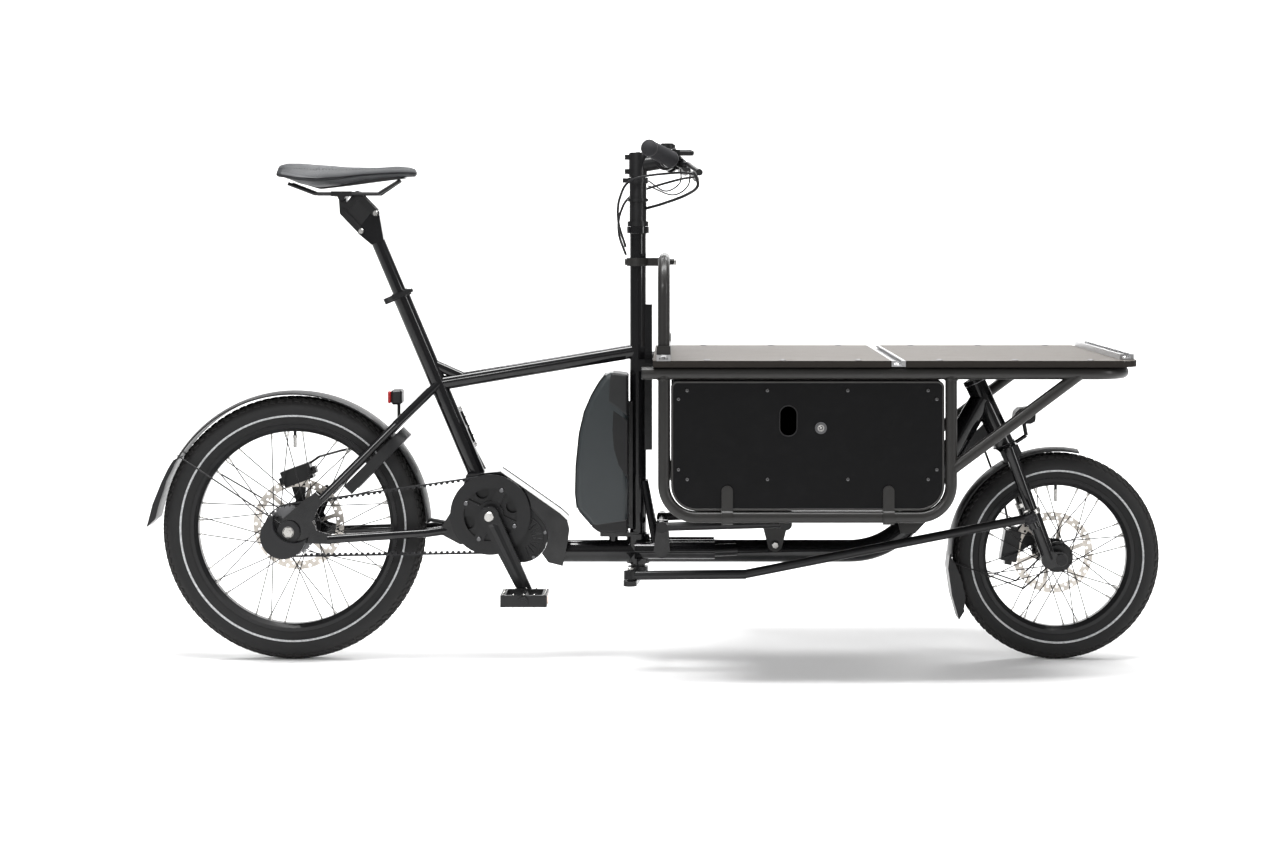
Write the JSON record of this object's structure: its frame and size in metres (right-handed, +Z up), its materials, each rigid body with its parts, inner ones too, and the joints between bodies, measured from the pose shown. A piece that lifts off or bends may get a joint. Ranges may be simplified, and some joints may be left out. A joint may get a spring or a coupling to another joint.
{
  "type": "cargo bicycle",
  "caption": "Front-loading cargo bicycle with a flat deck over a lockable side-opening box, rod-linked steering, belt drive and a battery on the steering column.",
  "frame": {"origin": "centre of the bounding box on the ground under the tyres", "axes": "+X forward (towards the small front wheel), +Y to the rider's left, +Z up"},
  "size_m": [1.9816, 0.6602, 1.0082],
  "materials": {
    "gloss_black": "gloss",
    "anthracite": "satin",
    "door_black": "matte",
    "deck_board": "matte",
    "bright_track": "satin",
    "black_plastic": "matte",
    "battery_shell": "gloss",
    "lens_red": "gloss",
    "black_alloy": "satin",
    "belt_rubber": "matte",
    "bright_steel": "satin",
    "disc_steel": "satin",
    "tyre_rubber": "matte",
    "grip_rubber": "matte",
    "cable_black": "satin",
    "saddle_cover": "matte"
  },
  "bodies": {
    "frame": {"rear_frame": "gloss_black", "main_tube": "gloss_black", "column_tube": "gloss_black", "deck_rail": "anthracite", "side_frames": "anthracite", "deck_boards": "deck_board", "lashing_tracks": "bright_track", "hoop": "anthracite", "box_shell": "door_black", "motor_housing": "black_alloy", "battery_case": "battery_shell", "rear_mudguard": "black_plastic", "rear_light": "lens_red", "ring_lock": "black_plastic", "rear_brake": "black_alloy", "rear_axle": "bright_steel", "drive_belt": "belt_rubber", "seat_clamp": "black_alloy"},
    "seat_lever": {"seat_lever": "black_alloy"},
    "kickstand": {"kickstand": "black_alloy"},
    "door_right": {"door_right": "door_black", "door_hardware_right": "anthracite"},
    "door_left": {"door_left": "door_black", "door_hardware_left": "anthracite"},
    "cam_lock_right": {"cam_lock_right": "bright_steel"},
    "cam_lock_left": {"cam_lock_left": "bright_steel"},
    "steering": {"steering_shaft": "black_alloy", "stem": "black_alloy", "handlebar": "black_alloy", "grips": "grip_rubber", "bar_controls": "black_alloy", "bell": "black_plastic", "bar_cables": "cable_black", "column_cables": "cable_black"},
    "bell_lever": {"bell_lever": "black_plastic"},
    "brake_lever_right": {"brake_lever_right": "black_alloy"},
    "brake_lever_left": {"brake_lever_left": "black_alloy"},
    "tie_rod": {"tie_rod": "black_alloy"},
    "fork": {"fork": "black_alloy", "front_axle": "black_alloy", "front_mudguard": "black_plastic", "headlight": "black_plastic", "front_brake": "black_alloy"},
    "front_wheel": {"front_tyre": "tyre_rubber", "front_rim": "black_alloy", "front_hub": "black_alloy", "front_disc": "disc_steel"},
    "rear_wheel": {"rear_tyre": "tyre_rubber", "rear_rim": "black_alloy", "rear_hub": "black_alloy", "rear_disc": "disc_steel"},
    "rear_sprocket": {"rear_sprocket": "bright_steel"},
    "crank": {"crankset": "black_alloy"},
    "pedal_right": {"pedal_right": "black_plastic"},
    "pedal_left": {"pedal_left": "black_plastic"},
    "seatpost": {"seatpost": "black_alloy"},
    "link_front": {"link_front": "black_alloy"},
    "link_rear": {"link_rear": "black_alloy"},
    "saddle": {"saddle_head": "black_alloy", "saddle": "saddle_cover"}
  },
  "joints": [
    {"name": "steering_turn", "type": "hinge", "parent": "frame", "child": "steering", "pos_m": [-0.032, 0, 0.5], "axis": [0, 0, 1], "range_deg": [-28, 28], "deforming": ["column_cables"]},
    {"name": "tie_rod_swing", "type": "hinge", "parent": "steering", "child": "tie_rod", "pos_m": [-0.045, -0.14, 0.184], "axis": [-0.0135, -0.0779, -0.9969], "range_deg": [-30, 30]},
    {"name": "fork_turn", "type": "hinge", "parent": "frame", "child": "fork", "pos_m": [0.78825, 0, 0.2025], "axis": [-0.4226, 0, 0.9063], "range_deg": [-29, 29]},
    {"name": "front_wheel_spin", "type": "hinge", "parent": "fork", "child": "front_wheel", "pos_m": [0.78825, 0, 0.2025], "axis": [0, 1, 0], "continuous": true},
    {"name": "rear_wheel_spin", "type": "hinge", "parent": "frame", "child": "rear_wheel", "pos_m": [-0.70575, 0, 0.258], "axis": [0, 1, 0], "continuous": true},
    {"name": "crank_spin", "type": "hinge", "parent": "frame", "child": "crank", "pos_m": [-0.31775, 0, 0.289], "axis": [0, 1, 0], "continuous": true},
    {"name": "sprocket_spin", "type": "hinge", "parent": "frame", "child": "rear_sprocket", "pos_m": [-0.70575, 0, 0.258], "axis": [0, 1, 0], "continuous": true},
    {"name": "pedal_right_spin", "type": "hinge", "parent": "crank", "child": "pedal_right", "pos_m": [-0.24542, -0.13, 0.1407], "axis": [0, 1, 0], "continuous": true},
    {"name": "pedal_left_spin", "type": "hinge", "parent": "crank", "child": "pedal_left", "pos_m": [-0.39008, 0.13, 0.4373], "axis": [0, 1, 0], "continuous": true},
    {"name": "seatpost_slide", "type": "slide", "parent": "frame", "child": "seatpost", "axis": [-0.3907, 0, 0.9205], "range_m": [-0.09, 0.05]},
    {"name": "seat_lever_turn", "type": "hinge", "parent": "frame", "child": "seat_lever", "pos_m": [-0.52273, -0.016, 0.7028], "axis": [-0.3907, 0, 0.9205], "range_deg": [-150, 0]},
    {"name": "link_front_turn", "type": "hinge", "parent": "seatpost", "child": "link_front", "pos_m": [-0.54584, 0, 0.87403], "axis": [0, -1, 0], "range_deg": [0, 35], "stiffness_Nm_per_rad": 60, "springref_deg": -20.05},
    {"name": "link_rear_turn", "type": "hinge", "parent": "seatpost", "child": "link_rear", "pos_m": [-0.57394, 0, 0.83903], "axis": [0, -1, 0], "range_deg": [0, 35]},
    {"name": "saddle_turn", "type": "hinge", "parent": "link_front", "child": "saddle", "pos_m": [-0.58124, 0, 0.91103], "axis": [0, -1, 0], "range_deg": [-35, 0]},
    {"name": "kickstand_turn", "type": "hinge", "parent": "frame", "child": "kickstand", "pos_m": [0.015, 0, 0.268], "axis": [0, 1, 0], "range_deg": [0, 84]},
    {"name": "door_right_turn", "type": "hinge", "parent": "frame", "child": "door_right", "pos_m": [0.285, -0.265, 0.311], "axis": [1, 0, 0], "range_deg": [0, 110]},
    {"name": "door_left_turn", "type": "hinge", "parent": "frame", "child": "door_left", "pos_m": [0.285, 0.265, 0.311], "axis": [-1, 0, 0], "range_deg": [0, 110]},
    {"name": "cam_lock_right_turn", "type": "hinge", "parent": "door_right", "child": "cam_lock_right", "pos_m": [0.31, -0.266, 0.47606], "axis": [0, 1, 0], "range_deg": [0, 90]},
    {"name": "cam_lock_left_turn", "type": "hinge", "parent": "door_left", "child": "cam_lock_left", "pos_m": [0.31, 0.266, 0.47606], "axis": [0, 1, 0], "range_deg": [0, 90]},
    {"name": "brake_lever_right_turn", "type": "hinge", "parent": "steering", "child": "brake_lever_right", "pos_m": [0.05412, -0.17409, 0.96663], "axis": [0, 0, -1], "range_deg": [0, 14], "stiffness_Nm_per_rad": 3, "springref_deg": -8.59},
    {"name": "brake_lever_left_turn", "type": "hinge", "parent": "steering", "child": "brake_lever_left", "pos_m": [0.05412, 0.17409, 0.96663], "axis": [0, 0, 1], "range_deg": [0, 14], "stiffness_Nm_per_rad": 3, "springref_deg": -8.59},
    {"name": "bell_lever_turn", "type": "hinge", "parent": "steering", "child": "bell_lever", "pos_m": [0.01476, -0.10382, 0.99275], "axis": [0, 0, 1], "range_deg": [0, 25], "stiffness_Nm_per_rad": 0.05, "springref_deg": -17.19}
  ],
  "couplings": [
    {"joint": "tie_rod_swing", "follows": "steering_turn", "ratio": 1.0228},
    {"joint": "fork_turn", "follows": "steering_turn", "ratio": 0.9862},
    {"joint": "sprocket_spin", "follows": "crank_spin", "ratio": 1.5},
    {"joint": "link_rear_turn", "follows": "link_front_turn", "ratio": 1},
    {"joint": "saddle_turn", "follows": "link_front_turn", "ratio": -1}
  ]
}
